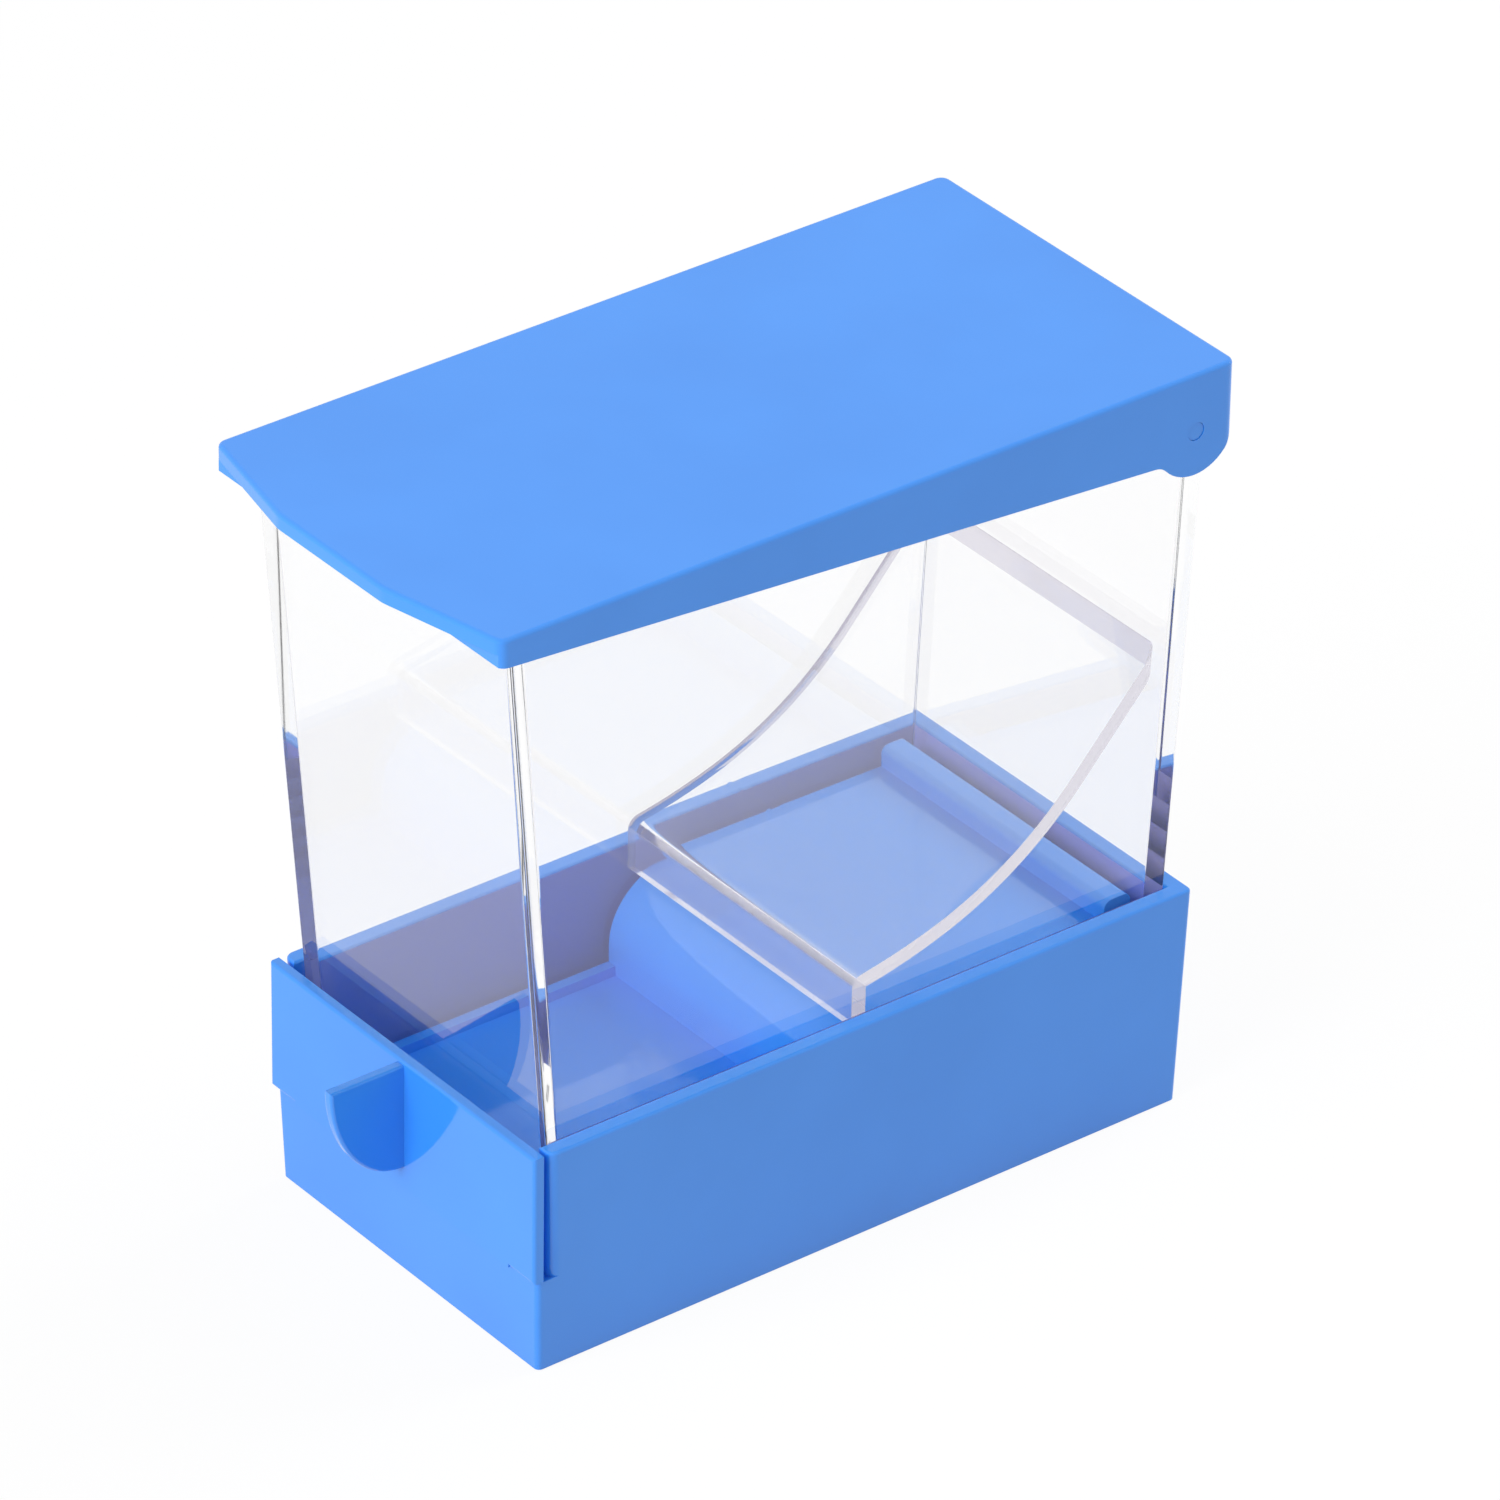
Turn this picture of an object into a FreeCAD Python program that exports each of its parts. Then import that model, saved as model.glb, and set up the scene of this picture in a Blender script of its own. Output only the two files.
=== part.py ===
# Cotton roll dispenser with a pull drawer.
# A drafted base holds a clear hopper and a drawer that slides out at the front.
# Rolls lie across the hopper, run down its curved chute and drop into the drawer's trough.
# A flat lid with side skirts turns on two pins at the top rear of the hopper.
# Sizes are in millimetres. X is the width, the drawer face looks to -Y, Z is up.

import FreeCAD
import Part

import math
import os

# Base: a drafted box, open at the top and at the front above its sill
base_width = 58.0
base_length = 107.3
base_draft = 1.9
base_rear_draft = 1.1
sill_height = 13.9
shelf_thickness = 2.3
plinth_wall = 2.4
base_corner = 0.8
rim_side = 2.5
rim_rear = 2.5
rim_above_deck = 3.35
rim_round = 0.4
wall_end_gap = 0.8
wall_end_round = 1.4
plinth_rib = 1.6
plinth_rib_count = 2
plinth_rib_lift = 1.0

# Hopper: a clear box that stands on the shelf inside the base walls
hopper_fit = 0.15
hopper_wall = 2.4
hopper_rise = 77.2
hopper_front_setback = 3.4
hopper_front_lean = 4.7
hopper_rear_lean = 3.0
hopper_side_lean = 0.4
hopper_outer_corner = 0.5
hopper_inner_corner = 0.3
mouth_drop = 2.0

# Drawer: front panel with a fin pull, trough, round-nosed step, deck and end ridge
drawer_side_clearance = 0.6
drawer_runner_clearance = 0.15
drawer_closing_clearance = 0.8
panel_thickness = 1.5
panel_inset = 0.3
panel_proud = 0.8
panel_gap = 0.3
panel_edge_round = 0.5
floor_thickness = 2.0
trough_length = 48.6
trough_rim_height = 1.5
trough_rim_thickness = 1.5
deck_rise = 14.0
deck_thickness = 2.0
nose_radius = 10.0
ridge_height = 3.2
ridge_length = 4.4
ridge_round = 1.2
runner_thickness = 1.6
fin_thickness = 1.6
fin_reach = 11.5
fin_top_margin = 0.5
fin_bottom_margin = 2.9
fin_edge_round = 0.4

# Chute: a clear sheet in two sweeps with a lip that hangs over the deck
chute_thickness = 2.3
chute_fit = 0.12
chute_rear_gap = 1.5
chute_corner = 1.5
lip_setback = 3.5
lip_clearance = 0.6
lip_height = 7.4
lip_round = 1.9
chute_lip_angle = 8.0
chute_middle_angle = 18.0
chute_top_angle = 48.0
chute_front_radius = 80.0
chute_rear_radius = 51.0

# Lid: a plate with a shallow pointed front, tapering side skirts and hinge lugs
lid_plate = 2.2
lid_seat = 0.3
lid_skirt = 1.8
lid_skirt_gap = 1.4
lid_front_gap = 1.9
lid_front_depth = 4.0
lid_tab_reach = 4.1
lid_tab_half_width = 11.0
lid_tab_round = 6.0
lid_corner = 1.5
lid_edge_round = 0.6
skirt_line_drop = 3.9
skirt_throat_round = 2.6
lug_radius = 6.4

# Hinge: a pin on each side, fixed in the hopper wall, turning in the lug
pivot_drop = 6.0
pivot_inset = 4.65
pin_radius = 1.25
pin_press_clearance = 0.02
pin_running_clearance = 0.06
pin_recess = 0.1
boss_radius = 3.4
boss_gap = 0.3

# Levels and places that follow from the sizes above
draft_slope = math.tan(math.radians(base_draft))
rear_draft_slope = math.tan(math.radians(base_rear_draft))
front_slope = math.tan(math.radians(hopper_front_lean))
rear_slope = math.tan(math.radians(hopper_rear_lean))
side_slope = math.tan(math.radians(hopper_side_lean))

floor_bottom = sill_height + drawer_runner_clearance
floor_top = floor_bottom + floor_thickness
deck_top = floor_top + deck_rise
deck_bottom = deck_top - deck_thickness
rim_height = deck_top + rim_above_deck
hopper_top = rim_height + hopper_rise
mouth_height = deck_top - mouth_drop
shelf_bottom = sill_height - shelf_thickness
lid_bottom = hopper_top + lid_seat
lid_top = lid_bottom + lid_plate

sill_front = -base_length / 2 + draft_slope * (rim_height - sill_height)
panel_front = sill_front - panel_proud
panel_back = panel_front + panel_thickness
riser_front = panel_back + trough_length
lip_front = riser_front + lip_setback
lip_bottom = deck_top + lip_clearance
lip_top = lip_bottom + lip_height

# Room that cutting shapes run past the faces they open, and how close counts as the same place
past = 5.0
same_place = 1e-4


# Outer faces of the hopper and the base at a height
def hopper_half(z):
    return base_width / 2 - rim_side - hopper_fit + side_slope * (z - rim_height)


def hopper_front(z):
    return -base_length / 2 + hopper_front_setback - front_slope * (z - rim_height)


def hopper_rear(z):
    return base_length / 2 - rim_rear - hopper_fit + rear_slope * (z - rim_height)


def base_inset(z):
    return draft_slope * (rim_height - z)


pivot_z = hopper_top - pivot_drop
pivot_y = hopper_rear(pivot_z) - pivot_inset
lid_half = hopper_half(hopper_top) + lid_skirt_gap + lid_skirt
lid_front = hopper_front(hopper_top) - lid_front_gap - lid_skirt
lid_rear = pivot_y + lug_radius
drawer_half = hopper_half(sill_height) - hopper_wall - drawer_side_clearance
drawer_rear = hopper_rear(floor_bottom) - hopper_wall - drawer_closing_clearance
ridge_front = drawer_rear - ridge_length

# The part's origin is the middle of its footprint, under the base
front_most = min(panel_front - fin_reach, lid_front - lid_tab_reach)
rear_most = max(lid_rear, base_length / 2)
centre_shift = FreeCAD.Vector(0, -(front_most + rear_most) / 2, 0)


# A block with flat drafted sides between two rectangles (x0, x1, y0, y1)
def tapered_block(low, z_low, high, z_high):
    def corners(box, z):
        x0, x1, y0, y1 = box
        return [FreeCAD.Vector(x, y, z) for x, y in ((x0, y0), (x1, y0), (x1, y1), (x0, y1))]

    bottom = corners(low, z_low)
    top = corners(high, z_high)
    loops = [bottom[::-1], top]
    for i in range(4):
        k = (i + 1) % 4
        loops.append([bottom[i], bottom[k], top[k], top[i]])
    faces = [Part.Face(Part.makePolygon(loop + loop[:1])) for loop in loops]
    return Part.Solid(Part.Shell(faces))


def upright_edges(solid):
    return [e for e in solid.Edges if abs(e.BoundBox.ZLength) > 0.9 * solid.BoundBox.ZLength]


def edges_at_height(solid, z):
    def level(edge):
        return abs(edge.BoundBox.ZMin - z) < same_place and abs(edge.BoundBox.ZMax - z) < same_place

    return [e for e in solid.Edges if level(e)]


# A straight or round run of an outline drawn in the Y-Z plane
def point(y, z):
    return FreeCAD.Vector(0, y, z)


def line(start, end):
    return Part.LineSegment(start, end).toShape()


def arc_about(centre, radius, start_angle, end_angle):
    def at(angle):
        turn = math.radians(angle)
        return centre + point(radius * math.cos(turn), radius * math.sin(turn))

    return Part.Arc(at(start_angle), at((start_angle + end_angle) / 2), at(end_angle)).toShape()


# A side outline made solid across the width, from x0 to x1
def across_width(edges, x0, x1):
    face = Part.Face(Part.Wire(Part.__sortEdges__(edges)))
    face.translate(FreeCAD.Vector(x0, 0, 0))
    return face.extrude(FreeCAD.Vector(x1 - x0, 0, 0))


def cylinder_across(radius, x0, x1, y, z):
    return Part.makeCylinder(radius, x1 - x0, FreeCAD.Vector(x0, y, z), FreeCAD.Vector(1, 0, 0))


def mirrored(solid):
    return solid.mirror(FreeCAD.Vector(0, 0, 0), FreeCAD.Vector(1, 0, 0))


def hopper_section(z, offset):
    half = hopper_half(z) + offset
    return (-half, half, hopper_front(z) - offset, hopper_rear(z) + offset)


def base_section(z, offset):
    half = base_width / 2 - base_inset(z) + offset
    front = base_length / 2 - base_inset(z) + offset
    rear = base_length / 2 - rear_draft_slope * (rim_height - z) + offset
    return (-half, half, -front, rear)


def make_base():
    body = tapered_block(base_section(0, 0), 0, base_section(rim_height, 0), rim_height)
    body = body.makeFillet(base_corner, upright_edges(body))

    # The pocket takes the hopper and runs out through the front for the drawer
    above = rim_height + past
    low = hopper_section(sill_height, hopper_fit)
    high = hopper_section(above, hopper_fit)
    open_front = -base_length
    pocket_low = low[:2] + (open_front, low[3])
    pocket_high = high[:2] + (open_front, high[3])
    body = body.cut(tapered_block(pocket_low, sill_height, pocket_high, above))

    # Above the sill the side walls stop behind the drawer panel, with rounded outer corners
    wall_end = panel_back + wall_end_gap
    front_low = (-base_width, base_width, open_front, wall_end + base_inset(sill_height))
    front_high = (-base_width, base_width, open_front, wall_end + base_inset(above))
    body = body.cut(tapered_block(front_low, sill_height, front_high, above))
    wall_height = rim_height - sill_height
    outer_face = base_width / 2 - rim_side / 2
    ends = [
        e
        for e in body.Edges
        if e.BoundBox.YMax < 0 and abs(e.BoundBox.ZLength - wall_height) < same_place
        and max(e.BoundBox.XMax, -e.BoundBox.XMin) > outer_face
    ]
    body = body.makeFillet(wall_end_round, ends)

    # Hollow plinth under the shelf, stiffened by cross ribs
    hollow_low = base_section(-past, -plinth_wall)
    hollow_high = base_section(shelf_bottom, -plinth_wall)
    body = body.cut(tapered_block(hollow_low, -past, hollow_high, shelf_bottom))
    rib_half = base_section(0, -plinth_wall / 2)[1]
    rib_pitch = (base_length - 2 * base_inset(0)) / (plinth_rib_count + 1)
    for i in range(plinth_rib_count):
        rib_y = (i + 1) * rib_pitch - (plinth_rib_count + 1) * rib_pitch / 2
        corner = FreeCAD.Vector(-rib_half, rib_y - plinth_rib / 2, plinth_rib_lift)
        height = shelf_bottom + shelf_thickness / 2 - plinth_rib_lift
        body = body.fuse(Part.makeBox(2 * rib_half, plinth_rib, height, corner))
    body = body.removeSplitter()
    return body.makeFillet(rim_round, edges_at_height(body, rim_height))


def make_hopper():
    foot = hopper_section(sill_height, 0)
    brim = hopper_section(hopper_top, 0)
    outer = tapered_block(foot, sill_height, brim, hopper_top)
    outer = outer.makeFillet(hopper_outer_corner, upright_edges(outer))

    # The drawer passes under the front wall, between the side walls
    low = sill_height - past
    low_half = hopper_half(low) - hopper_wall
    high_half = hopper_half(mouth_height) - hopper_wall
    mouth_foot = (-low_half, low_half, -base_length, 0)
    mouth_head = (-high_half, high_half, -base_length, 0)
    mouth = tapered_block(mouth_foot, low, mouth_head, mouth_height)
    hopper = outer.cut(hopper_cavity().fuse(mouth).removeSplitter())

    # The top rear is rounded about the pivot so that the turning lid clears it
    pivot = point(pivot_y, pivot_z)
    beyond = pivot_drop + past
    outline = [
        arc_about(pivot, pivot_drop, 90, 0),
        line(pivot + point(pivot_drop, 0), pivot + point(beyond, 0)),
        line(pivot + point(beyond, 0), pivot + point(beyond, beyond)),
        line(pivot + point(beyond, beyond), pivot + point(0, beyond)),
        line(pivot + point(0, beyond), pivot + point(0, pivot_drop)),
    ]
    hopper = hopper.cut(across_width(outline, -base_width, base_width))

    # Bosses space the lugs off the side walls, and bores take the pins
    boss_root = hopper_half(pivot_z) - hopper_wall / 2
    boss_end = lid_half - lid_skirt - boss_gap
    boss = cylinder_across(boss_radius, boss_root, boss_end, pivot_y, pivot_z)
    hopper = hopper.fuse([boss, mirrored(boss)])
    bore = cylinder_across(pin_radius + pin_press_clearance, -base_width, base_width, pivot_y, pivot_z)
    return hopper.cut(bore).removeSplitter()


# The room inside the hopper
def hopper_cavity():
    low = sill_height - past
    high = hopper_top + past
    room = tapered_block(hopper_section(low, -hopper_wall), low, hopper_section(high, -hopper_wall), high)
    return room.makeFillet(hopper_inner_corner, upright_edges(room))


# One face of the chute, a given depth below its upper face: two sweeps and a straight run
def chute_sweep(depth, start_y):
    def direction(angle):
        turn = math.radians(angle)
        return point(math.cos(turn), math.sin(turn))

    def normal(angle):
        turn = math.radians(angle)
        return point(-math.sin(turn), math.cos(turn))

    front_radius = chute_front_radius + depth
    rear_radius = chute_rear_radius + depth
    front_centre = point(lip_front, lip_top) + normal(chute_lip_angle) * chute_front_radius
    start_angle = math.degrees(math.asin((start_y - front_centre.y) / front_radius))
    start = front_centre - normal(start_angle) * front_radius
    middle = front_centre - normal(chute_middle_angle) * front_radius
    rear_centre = middle + normal(chute_middle_angle) * rear_radius
    top = rear_centre - normal(chute_top_angle) * rear_radius
    end = top + direction(chute_top_angle) * base_length
    runs = [
        arc_about(front_centre, front_radius, start_angle - 90, chute_middle_angle - 90),
        arc_about(rear_centre, rear_radius, chute_middle_angle - 90, chute_top_angle - 90),
        line(top, end),
    ]
    return runs, start, end


def make_chute():
    lip_back = lip_front + chute_thickness
    upper, upper_start, upper_end = chute_sweep(0, lip_front)
    lower, lower_start, lower_end = chute_sweep(chute_thickness, lip_back)
    lip = [
        line(upper_start, point(lip_front, lip_bottom)),
        line(point(lip_front, lip_bottom), point(lip_back, lip_bottom)),
        line(point(lip_back, lip_bottom), lower_start),
    ]
    sheet = across_width(upper + lower + lip + [line(upper_end, lower_end)], -base_width, base_width)
    nose = [e for e in edges_at_height(sheet, lip_top) if abs(e.BoundBox.YMax - lip_front) < same_place]
    sheet = sheet.makeFillet(lip_round, nose)

    # Trimmed to fit between the hopper's side walls and to end short of its rear wall
    def reach(z):
        half = hopper_half(z) - hopper_wall - chute_fit
        return (-half, half, -base_length, hopper_rear(z) - hopper_wall - chute_rear_gap)

    room = tapered_block(reach(sill_height), sill_height, reach(hopper_top), hopper_top)
    room = room.makeFillet(chute_corner, [e for e in upright_edges(room) if e.BoundBox.YMin > 0])
    return sheet.common(room).removeSplitter()


def make_drawer():
    # Trough floor, round-nosed riser, deck and end ridge in one side outline
    nose_centre = point(riser_front + nose_radius, deck_top - nose_radius)
    under_radius = nose_radius - deck_thickness
    riser_back = riser_front + deck_thickness
    ridge_top = deck_top + ridge_height
    outline = [
        line(point(panel_front, floor_top), point(riser_front, floor_top)),
        line(point(riser_front, floor_top), point(riser_front, deck_top - nose_radius)),
        arc_about(nose_centre, nose_radius, 180, 90),
        line(point(riser_front + nose_radius, deck_top), point(ridge_front, deck_top)),
        line(point(ridge_front, deck_top), point(ridge_front, ridge_top)),
        line(point(ridge_front, ridge_top), point(drawer_rear, ridge_top)),
        line(point(drawer_rear, ridge_top), point(drawer_rear, deck_bottom)),
        line(point(drawer_rear, deck_bottom), point(riser_front + nose_radius, deck_bottom)),
        arc_about(nose_centre, under_radius, 90, 180),
        line(point(riser_back, deck_top - nose_radius), point(riser_back, floor_bottom)),
        line(point(riser_back, floor_bottom), point(panel_front, floor_bottom)),
        line(point(panel_front, floor_bottom), point(panel_front, floor_top)),
    ]
    tray = across_width(outline, -drawer_half, drawer_half)

    # Low rims along the trough and runners that carry the deck on the shelf
    rim_span = riser_front - panel_back
    rim_corner = FreeCAD.Vector(-drawer_half, panel_back, floor_top)
    rim = Part.makeBox(trough_rim_thickness, rim_span, trough_rim_height, rim_corner)
    runner_corner = FreeCAD.Vector(-drawer_half, riser_back, floor_bottom)
    runner_rise = deck_bottom - floor_bottom
    runner = Part.makeBox(runner_thickness, drawer_rear - riser_back, runner_rise, runner_corner)
    under_nose = across_width(
        [
            arc_about(nose_centre, nose_radius - deck_thickness / 2, 90, 180),
            line(point(riser_front + deck_thickness / 2, nose_centre.z), point(nose_centre.y, nose_centre.z)),
            line(point(nose_centre.y, nose_centre.z), point(nose_centre.y, deck_top - deck_thickness / 2)),
        ],
        -drawer_half,
        -drawer_half + runner_thickness,
    )
    runner = runner.cut(
        Part.makeBox(
            runner_thickness,
            nose_radius - deck_thickness,
            nose_radius,
            FreeCAD.Vector(-drawer_half, riser_back, nose_centre.z),
        )
    ).fuse(under_nose)
    tray = tray.fuse([rim, mirrored(rim), runner, mirrored(runner)])

    # The ridge is rounded along its crest
    tray = tray.removeSplitter()
    crest = [e for e in edges_at_height(tray, ridge_top) if e.BoundBox.XLength > drawer_half]
    tray = tray.makeFillet(ridge_round, crest)

    # Front panel, level with the rim and a little narrower than it, with rounded edges
    panel_bottom = sill_height + panel_gap
    panel_half = base_width / 2 - panel_inset
    panel_corner = FreeCAD.Vector(-panel_half, panel_front, panel_bottom)
    panel = Part.makeBox(2 * panel_half, panel_thickness, rim_height - panel_bottom, panel_corner)
    face_edges = [e for e in panel.Edges if abs(e.BoundBox.YMax - panel_front) < same_place]
    panel = panel.makeFillet(panel_edge_round, face_edges)

    # Fin pull: a quarter ellipse standing square on the panel
    fin_top = rim_height - fin_top_margin
    fin_drop = fin_top - panel_bottom - fin_bottom_margin
    root = point(panel_front, fin_top)
    long_axis = root + point(0, -fin_drop)
    short_axis = root + point(-fin_reach, 0)
    rim_curve = Part.Ellipse(long_axis, short_axis, root)
    quarter = Part.ArcOfEllipse(rim_curve, 0, math.pi / 2).toShape()
    inside = point(panel_front + panel_thickness / 2, fin_top)
    fin_outline = [
        quarter,
        line(short_axis, inside),
        line(inside, inside + point(0, -fin_drop)),
        line(inside + point(0, -fin_drop), long_axis),
    ]
    fin = across_width(fin_outline, -fin_thickness / 2, fin_thickness / 2)
    fin_edges = [
        e
        for e in fin.Edges
        if e.BoundBox.XLength < same_place and e.BoundBox.YMin < panel_front - fin_reach / 2
    ]
    fin = fin.makeFillet(fin_edge_round, fin_edges)
    return tray.fuse([panel, fin]).removeSplitter()


# Where the straight lower edge of a skirt blends into its lug
def skirt_blend(low_front):
    at_pivot = point(pivot_y, pivot_z - skirt_line_drop)
    along = (at_pivot - low_front).normalize()
    down = point(along.z, -along.y)
    pivot = point(pivot_y, pivot_z)
    reach = lug_radius + skirt_throat_round
    drop = (at_pivot + down * skirt_throat_round - pivot).dot(down)
    back = math.sqrt(reach ** 2 - drop ** 2)
    centre = pivot + down * drop - along * back
    on_line = centre - down * skirt_throat_round
    on_lug = pivot + (centre - pivot) * (lug_radius / reach)
    halfway = ((on_line + on_lug) * 0.5 - centre).normalize()
    return on_line, centre + halfway * skirt_throat_round, on_lug


def make_lid():
    half = lid_half
    tip = lid_front - lid_tab_reach
    corners = [
        (-half, lid_rear),
        (-half, lid_front),
        (-lid_tab_half_width, tip),
        (lid_tab_half_width, tip),
        (half, lid_front),
        (half, lid_rear),
    ]
    # The plan outline, as deep as the lid, with rounded upright corners
    low = pivot_z - lug_radius - past
    loop = [FreeCAD.Vector(x, y, low) for x, y in corners]
    block = Part.Face(Part.makePolygon(loop + loop[:1])).extrude(FreeCAD.Vector(0, 0, lid_top - low))
    tab_edges = [e for e in upright_edges(block) if abs(e.BoundBox.YMin - tip) < same_place]
    block = block.makeFillet(lid_tab_round, tab_edges)
    side_edges = [e for e in upright_edges(block) if abs(abs(e.BoundBox.XMin) - half) < same_place]
    block = block.makeFillet(lid_corner, side_edges)
    below = FreeCAD.Vector(-base_width, -base_length, low)
    plate = block.cut(Part.makeBox(2 * base_width, 2 * base_length, lid_bottom - low, below))

    # Straight front skirt set behind the pointed edge
    skirt_low = lid_top - lid_front_depth
    front_corner = FreeCAD.Vector(-half, lid_front, skirt_low)
    front_skirt = Part.makeBox(2 * half, lid_skirt, lid_bottom - skirt_low, front_corner)

    # Side skirt that deepens to the rear and ends in a round lug
    low_front = point(lid_front, skirt_low)
    on_line, throat, on_lug = skirt_blend(low_front)
    lug_low = point(pivot_y, pivot_z - lug_radius)
    lug_rear = point(lid_rear, pivot_z)
    lug_turn = point(pivot_y + lug_radius * math.sqrt(0.5), pivot_z - lug_radius * math.sqrt(0.5))
    lug_face = (on_lug + lug_low) * 0.5 - point(pivot_y, pivot_z)
    lug_between = point(pivot_y, pivot_z) + lug_face.normalize() * lug_radius
    outline = [
        line(point(lid_front, lid_bottom), low_front),
        line(low_front, on_line),
        Part.Arc(on_line, throat, on_lug).toShape(),
        Part.Arc(on_lug, lug_between, lug_low).toShape(),
        Part.Arc(lug_low, lug_turn, lug_rear).toShape(),
        line(lug_rear, point(lid_rear, lid_bottom)),
        line(point(lid_rear, lid_bottom), point(lid_front, lid_bottom)),
    ]
    skirt = across_width(outline, half - lid_skirt, half)
    skirts = front_skirt.fuse([skirt, mirrored(skirt)]).removeSplitter().common(block)

    # Rounded top edge, then the running holes for the pins
    lid = plate.fuse(skirts).removeSplitter()
    lid = lid.makeFillet(lid_edge_round, edges_at_height(lid, lid_top))
    hole = cylinder_across(pin_radius + pin_running_clearance, -base_width, base_width, pivot_y, pivot_z)
    return lid.cut(hole)


def make_hinge_pin():
    inner = hopper_half(pivot_z) - hopper_wall + pin_recess
    outer = lid_half - pin_recess
    return cylinder_across(pin_radius, inner, outer, pivot_y, pivot_z)


right_pin = make_hinge_pin()
pieces = {
    "base": make_base(),
    "hopper": make_hopper(),
    "chute": make_chute(),
    "drawer": make_drawer(),
    "lid": make_lid(),
    "hinge_pin_right": right_pin,
    "hinge_pin_left": mirrored(right_pin),
}

os.makedirs("parts", exist_ok=True)
for name, shape in pieces.items():
    shape.translate(centre_shift)
    box = shape.BoundBox
    print(name, len(shape.Solids), "solid, valid", shape.isValid(), "volume", round(shape.Volume, 1))
    print("  from", round(box.XMin, 2), round(box.YMin, 2), round(box.ZMin, 2))
    print("  to", round(box.XMax, 2), round(box.YMax, 2), round(box.ZMax, 2))
    shape.exportStep("parts/" + name + ".step")

print("hinge axis y, z:", round(pivot_y + centre_shift.y, 3), round(pivot_z, 3))
print("drawer room to the lip:", round(ridge_front - lip_front - chute_thickness, 3))
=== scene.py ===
import math

import bpy
from mathutils import Matrix, Vector

# Cotton roll dispenser: glossy blue base, drawer and lid, clear hopper and chute
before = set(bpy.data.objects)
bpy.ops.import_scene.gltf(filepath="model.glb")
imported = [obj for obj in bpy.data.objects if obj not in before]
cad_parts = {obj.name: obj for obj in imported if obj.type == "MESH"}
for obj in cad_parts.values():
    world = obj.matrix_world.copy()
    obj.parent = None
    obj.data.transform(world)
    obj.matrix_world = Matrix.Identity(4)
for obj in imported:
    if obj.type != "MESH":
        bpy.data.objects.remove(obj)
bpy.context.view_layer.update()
print("frame loaded:", ", ".join(sorted(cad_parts)))

white = (1, 1, 1, 1)
# the part of a noise texture's range that is spread out to full contrast
noiseSpan = (0.35, 0.65)
# nodes stand in rows in the editor, in the order in which they are added
nodeRows = {"columns": 8, "across": 220, "down": 340}


def newTree(owner):
    owner.use_nodes = True
    owner.node_tree.nodes.clear()
    return owner.node_tree


# inputs holds a value or another node's socket for each input that is set
def addNode(tree, kind, inputs, **settings):
    row, column = divmod(len(tree.nodes), nodeRows["columns"])
    node = tree.nodes.new(kind)
    node.location = (column * nodeRows["across"], -row * nodeRows["down"])
    for key, value in settings.items():
        setattr(node, key, value)
    for key, value in inputs.items():
        if isinstance(value, bpy.types.NodeSocket):
            tree.links.new(value, node.inputs[key])
        else:
            node.inputs[key].default_value = value
    return node


def calc(tree, operation, first, second):
    return addNode(tree, "ShaderNodeMath", {0: first, 1: second}, operation=operation).outputs[0]


def mixOf(tree, kind, factor, first, second):
    inputs = {"Factor": factor, "A": first, "B": second}
    return addNode(tree, "ShaderNodeMix", inputs, data_type=kind).outputs["Result"]


def objectCoords(tree):
    return addNode(tree, "ShaderNodeTexCoord", {}).outputs["Object"]


def noiseAt(tree, coords, scale, detail):
    inputs = {"Vector": coords, "Scale": scale, "Detail": detail}
    return addNode(tree, "ShaderNodeTexNoise", inputs).outputs["Fac"]


def mapTo(tree, value, low, high, span):
    inputs = {"Value": value, "To Min": low, "To Max": high}
    inputs["From Min"], inputs["From Max"] = span
    return addNode(tree, "ShaderNodeMapRange", inputs).outputs["Result"]


# glossy moulded plastic in one blue: faint clouding, uneven polish and a trace of orange peel
bluePlastic = {
    "deep": (0.036, 0.278, 0.890, 1),
    "light": (0.041, 0.296, 0.930, 1),
    "cloudScale": 38.0,
    "cloudDetail": 3.0,
    "polishLow": 0.055,
    "polishHigh": 0.095,
    "polishScale": 170.0,
    "polishDetail": 4.0,
    "peelScale": 620.0,
    "peelDetail": 1.0,
    "peelDepth": 0.000004,
    "ior": 1.58,
}


def makeBlue(name, look):
    mat = bpy.data.materials.new(name)
    tree = newTree(mat)
    coords = objectCoords(tree)
    cloud = noiseAt(tree, coords, look["cloudScale"], look["cloudDetail"])
    cloudMix = mapTo(tree, cloud, 0.0, 1.0, noiseSpan)
    polish = noiseAt(tree, coords, look["polishScale"], look["polishDetail"])
    peel = noiseAt(tree, coords, look["peelScale"], look["peelDetail"])
    bump = addNode(tree, "ShaderNodeBump", {"Height": peel, "Distance": look["peelDepth"]})
    body = addNode(tree, "ShaderNodeBsdfPrincipled", {
        "Base Color": mixOf(tree, "RGBA", cloudMix, look["deep"], look["light"]),
        "Roughness": mapTo(tree, polish, look["polishLow"], look["polishHigh"], noiseSpan),
        "IOR": look["ior"],
        "Normal": bump.outputs["Normal"],
    })
    addNode(tree, "ShaderNodeOutputMaterial", {"Surface": body.outputs["BSDF"]})
    return mat


# clear polished plastic: lamps pass it, so that the inside is lit as through real walls
clearPlastic = {
    "tint": (0.996, 0.996, 0.997, 1),
    "lampTint": (0.985, 0.945, 0.935, 1),
    "passes": 1.0,
    "ior": 1.58,
    "polishLow": 0.0,
    "polishHigh": 0.016,
    "polishScale": 60.0,
    "polishDetail": 3.0,
    "waveScale": 30.0,
    "waveDetail": 1.0,
    "waveDepth": 0.000006,
}
# ways to face: the hopper's walls lean out towards the top, and the chute's lip is upright
leftward = (-1, 0, -0.00698)
rightward = (1, 0, -0.00698)
rearward = (0, 1, -0.05241)
frontward = (0, -1, 0)
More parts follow.
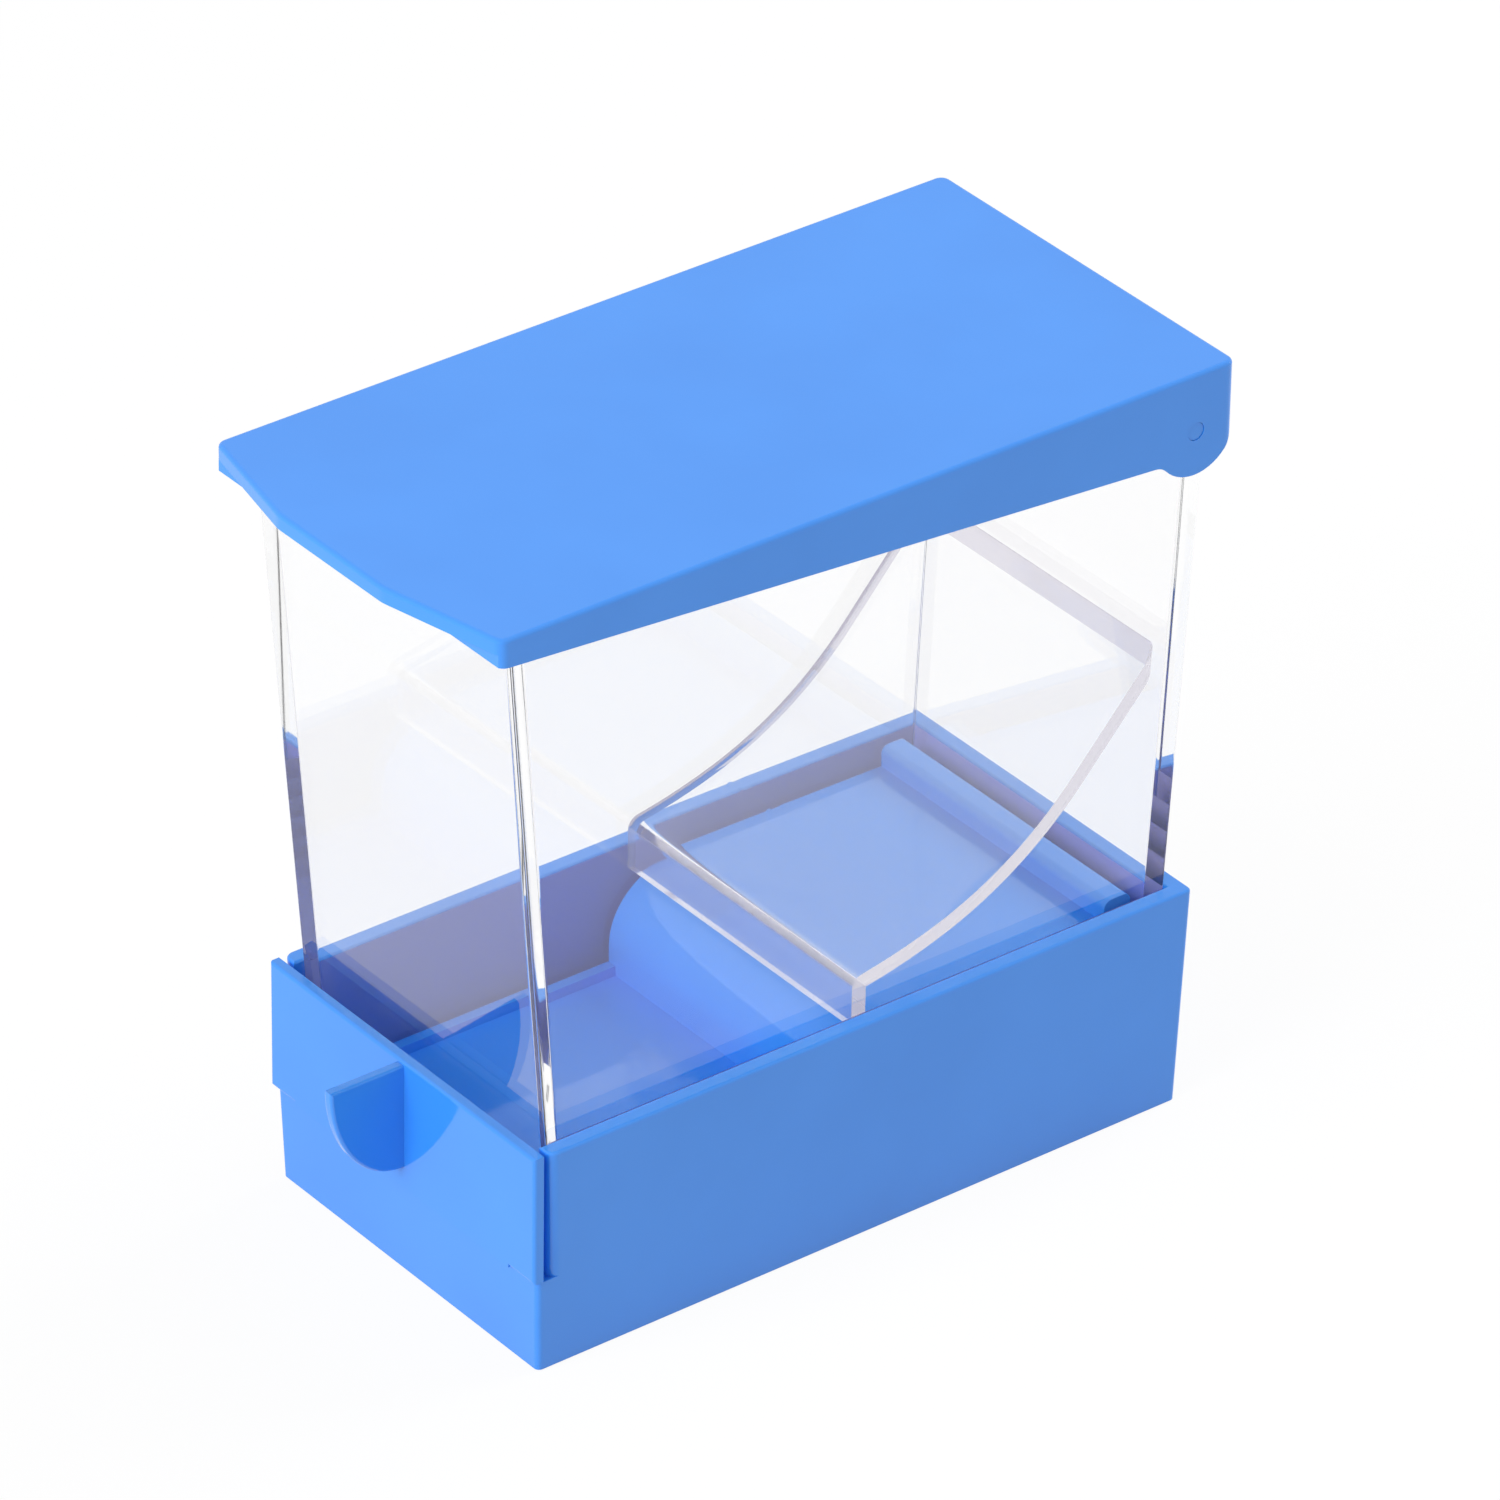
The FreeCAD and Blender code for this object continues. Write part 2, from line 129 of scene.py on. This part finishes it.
# faces that aren't polished, each past a plane and below a height:
# the hopper's foot where it sits in the base: its faces painted a pale blue, standing in for the
# blue base wall lit through the clear plastic
footLitPaint = {
    # painted light: the pale lit blue of the base wall seen through the foot
    "colour": (0.44, 0.46, 0.92, 1),
    "passes": 0.5,
    "ior": 1.58,
    "roughness": 0.5,
    "below": 0.0332,
}
hopperFoot = (
    dict(footLitPaint, towards=leftward, start=0.02606),
    dict(footLitPaint, towards=rightward, start=0.02606),
    dict(footLitPaint, towards=rearward, start=0.05360),
)
# the chute's left and rear ends, and the face of its lip
sawn = {"passes": 1.0, "ior": 1.06, "roughness": 0.12, "below": 1.0}
veiled = dict(sawn, passes=0.82, ior=1.58)
chuteEnds = (
    dict(sawn, towards=leftward, start=0.02310, colour=(0.50, 0.47, 0.58, 1)),
    dict(sawn, towards=rearward, start=0.04970, colour=(0.60, 0.56, 0.66, 1)),
    dict(veiled, towards=frontward, start=-0.00430, colour=(0.76, 0.79, 0.94, 1)),
)


# one past the face's plane and below its height, zero elsewhere
def maskOf(tree, coords, face):
    inputs = {0: coords, 1: face["towards"]}
    along = addNode(tree, "ShaderNodeVectorMath", inputs, operation="DOT_PRODUCT")
    past = calc(tree, "GREATER_THAN", along.outputs["Value"], face["start"])
    height = addNode(tree, "ShaderNodeSeparateXYZ", {"Vector": coords}).outputs["Z"]
    low = calc(tree, "LESS_THAN", height, face["below"])
    return calc(tree, "MULTIPLY", past, low)


def makeClear(name, look, dullFaces):
    mat = bpy.data.materials.new(name)
    tree = newTree(mat)
    coords = objectCoords(tree)
    polish = noiseAt(tree, coords, look["polishScale"], look["polishDetail"])
    gloss = mapTo(tree, polish, look["polishLow"], look["polishHigh"], noiseSpan)
    wave = noiseAt(tree, coords, look["waveScale"], look["waveDetail"])
    bump = addNode(tree, "ShaderNodeBump", {"Height": wave, "Distance": look["waveDepth"]})
    masks = [maskOf(tree, coords, face) for face in dullFaces]
    inputs = {"Normal": bump.outputs["Normal"]}
    finish = (
        ("Base Color", "colour", "RGBA", look["tint"]),
        ("Transmission Weight", "passes", "FLOAT", look["passes"]),
        ("IOR", "ior", "FLOAT", look["ior"]),
        ("Roughness", "roughness", "FLOAT", gloss),
    )
    for socket, key, kind, value in finish:
        for mask, face in zip(masks, dullFaces):
            value = mixOf(tree, kind, mask, value, face[key])
        inputs[socket] = value
    body = addNode(tree, "ShaderNodeBsdfPrincipled", inputs)
    lamps = addNode(tree, "ShaderNodeBsdfTransparent", {"Color": look["lampTint"]})
    path = addNode(tree, "ShaderNodeLightPath", {})
    pick = addNode(tree, "ShaderNodeMixShader", {
        "Fac": path.outputs["Is Shadow Ray"],
        1: body.outputs["BSDF"],
        2: lamps.outputs["BSDF"],
    })
    addNode(tree, "ShaderNodeOutputMaterial", {"Surface": pick.outputs["Shader"]})
    return mat


def dress(node, mat):
    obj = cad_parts[node]
    obj.data.materials.clear()
    obj.data.materials.append(mat)


blue = makeBlue("moulded blue", bluePlastic)
for node in ("base", "drawer", "lid", "hinge_pin_left", "hinge_pin_right"):
    dress(node, blue)
dress("hopper", makeClear("clear wall", clearPlastic, hopperFoot))
dress("chute", makeClear("clear sheet", clearPlastic, chuteEnds))
print("materials set")

# diffuse depths are whole numbers, and zero before the first soft bounce
firstSoftBounce = 0.5


# one for rays through glass, and for straight or glossy rays before any soft bounce
def showsDirectly(tree):
    path = addNode(tree, "ShaderNodeLightPath", {}).outputs
    straight = calc(tree, "MAXIMUM", path["Is Camera Ray"], path["Is Glossy Ray"])
    early = calc(tree, "LESS_THAN", path["Diffuse Depth"], firstSoftBounce)
    both = calc(tree, "MULTIPLY", straight, early)
    return calc(tree, "MAXIMUM", both, path["Is Transmission Ray"])


# pale floor that shows white and keeps a soft shadow
floorLook = {
    "size": 8.0,
    "drop": 0.0002,
    "colour": (0.74, 0.74, 0.75, 1),
    "glow": 0.90,
    "glowLevel": 1.03,
}


def makeFloor(look):
    bpy.ops.object.select_all(action="DESELECT")
    bpy.ops.mesh.primitive_plane_add(size=look["size"], location=(0, 0, -look["drop"]))
    floor = bpy.context.object
    floor.name = "studioFloor"
    mat = bpy.data.materials.new("pale floor")
    tree = newTree(mat)
    paint = addNode(tree, "ShaderNodeBsdfDiffuse", {"Color": look["colour"]})
    glow = addNode(tree, "ShaderNodeEmission", {"Color": white, "Strength": look["glowLevel"]})
    mix = addNode(tree, "ShaderNodeMixShader", {
        "Fac": calc(tree, "MULTIPLY", showsDirectly(tree), look["glow"]),
        1: paint.outputs["BSDF"],
        2: glow.outputs["Emission"],
    })
    addNode(tree, "ShaderNodeOutputMaterial", {"Surface": mix.outputs["Shader"]})
    floor.data.materials.append(mat)


makeFloor(floorLook)
print("floor laid")

# white studio world: full white where it is seen, softer as light
worldLook = {
    "seen": 1.0,
    "light": 0.36,
}


def makeWorld(look):
    world = bpy.data.worlds.new("white studio")
    bpy.context.scene.world = world
    tree = newTree(world)
    level = mapTo(tree, showsDirectly(tree), look["light"], look["seen"], (0.0, 1.0))
    sky = addNode(tree, "ShaderNodeBackground", {"Color": white, "Strength": level})
    addNode(tree, "ShaderNodeOutputWorld", {"Surface": sky.outputs["Background"]})


makeWorld(worldLook)

# soft boxes: a large one ahead of the drawer, a weaker one straight behind
lampLooks = {
    "front": {"at": (0.10, -1.20, 0.75), "aim": (0, 0, 0.06), "size": 0.9, "power": 16.3},
    "back": {"at": (0.10, 1.10, 0.80), "aim": (0, 0, 0.06), "size": 0.9, "power": 11.6},
}


def makeLamp(name, look):
    data = bpy.data.lights.new(name, "AREA")
    data.shape = "SQUARE"
    data.size = look["size"]
    data.energy = look["power"]
    lamp = bpy.data.objects.new(name, data)
    bpy.context.scene.collection.objects.link(lamp)
    away = Vector(look["at"]) - Vector(look["aim"])
    turn = away.to_track_quat("Z", "Y").to_matrix().to_4x4()
    lamp.matrix_world = Matrix.Translation(look["at"]) @ turn
    lamp.visible_camera = False
    lamp.visible_glossy = False
    lamp.visible_transmission = False


for name, look in lampLooks.items():
    makeLamp(name, look)
print("lamps placed")

# camera fitted to the straight edges of the photograph, angles in degrees
cameraLook = {
    "turn": 51.826,  # to the right of the front
    "rise": 31.995,
    "roll": 0.95,
    "distance": 1.45373,
    "aim": (0.001152, 0.0057275, 0.060231),
    "lens": 270.31,
    "sensor": 36.0,
    "reach": 30.0,
}


def makeCamera(look):
    data = bpy.data.cameras.new("shot")
    data.sensor_width = look["sensor"]
    data.sensor_fit = "HORIZONTAL"
    data.lens = look["lens"]
    data.clip_end = look["reach"]
    cam = bpy.data.objects.new("shot", data)
    bpy.context.scene.collection.objects.link(cam)
    turn, rise, roll = (math.radians(look[key]) for key in ("turn", "rise", "roll"))
    level = math.cos(rise)
    back = Vector((math.sin(turn) * level, -math.cos(turn) * level, math.sin(rise)))
    right = (-back).cross(Vector((0, 0, 1))).normalized()
    up = right.cross(-back)
    across = right * math.cos(roll) + up * math.sin(roll)
    upright = up * math.cos(roll) - right * math.sin(roll)
    spin = Matrix((across, upright, back)).transposed().to_4x4()
    cam.matrix_world = Matrix.Translation(Vector(look["aim"]) + back * look["distance"]) @ spin
    bpy.context.scene.camera = cam


makeCamera(cameraLook)
bpy.context.scene.view_settings.view_transform = "Standard"
print("camera set")

# light runs a long way inside the clear walls before it leaves them
bounceLimits = {
    "max_bounces": 40,
    "transmission_bounces": 40,
    "glossy_bounces": 24,
    "diffuse_bounces": 10,
}
for name, limit in bounceLimits.items():
    setattr(bpy.context.scene.cycles, name, limit)
